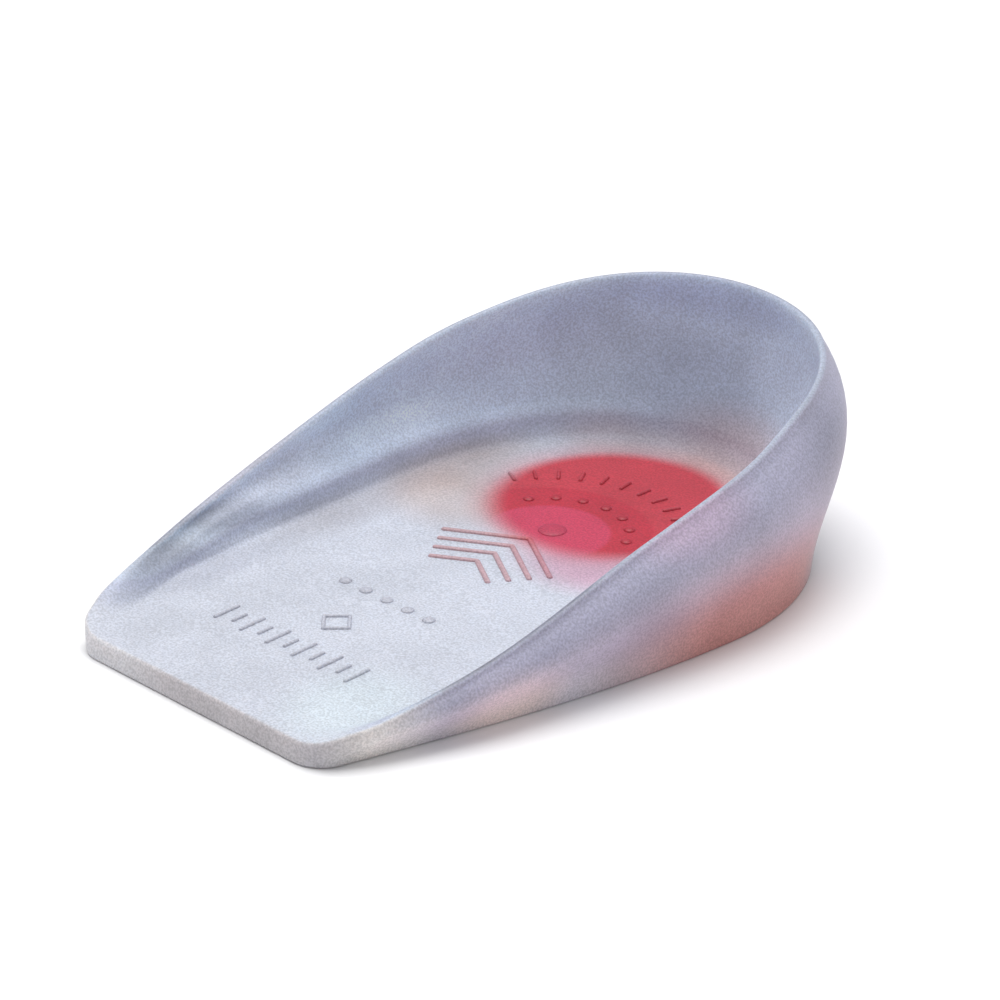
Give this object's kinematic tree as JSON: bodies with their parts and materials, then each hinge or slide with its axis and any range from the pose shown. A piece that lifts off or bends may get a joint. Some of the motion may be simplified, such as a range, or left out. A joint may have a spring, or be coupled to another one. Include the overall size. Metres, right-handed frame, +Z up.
{
  "type": "silicone heel cup",
  "caption": "Clear silicone heel cup with a thin square front, walls rising to a rounded heel and a softer red plug under the heel.",
  "frame": {"origin": "on the surface that the cup lies on, at the middle of its length and width", "axes": "+Z up out of the cup, +Y along its length towards the heel, X across"},
  "size_m": [0.0692, 0.108, 0.0303],
  "materials": {
    "clear_silicone": "satin",
    "red_silicone": "satin"
  },
  "bodies": {
    "root": {"cup_body": "clear_silicone", "heel_plug": "red_silicone"}
  },
  "joints": []
}
